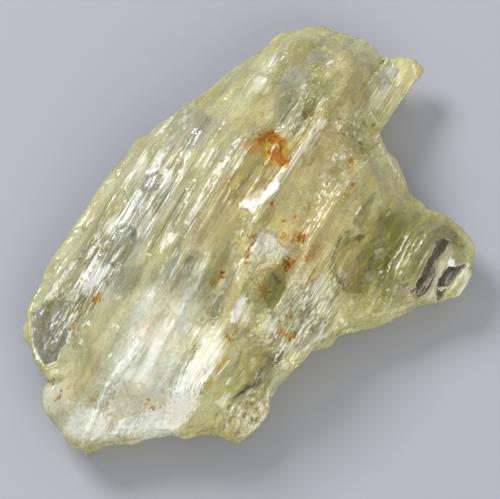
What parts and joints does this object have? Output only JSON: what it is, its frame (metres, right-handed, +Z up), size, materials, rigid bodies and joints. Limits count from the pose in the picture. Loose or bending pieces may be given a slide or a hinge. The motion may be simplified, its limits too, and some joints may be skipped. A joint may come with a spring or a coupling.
{
  "type": "rough heliodor crystal",
  "caption": "Rough, etched golden beryl crystal: a bundle of parallel rods with a broken lobe and a stub, lying on its flattest side.",
  "frame": {"origin": "middle of the crystal's bounding box, on the surface that it rests on", "axes": "+X along the c-axis, which the rods and striations follow, towards the end with the stub; +Z up"},
  "size_m": [0.045, 0.0316, 0.0139],
  "materials": {
    "golden_beryl": "gloss"
  },
  "bodies": {
    "root": {"heliodor_crystal": "golden_beryl"}
  },
  "joints": []
}
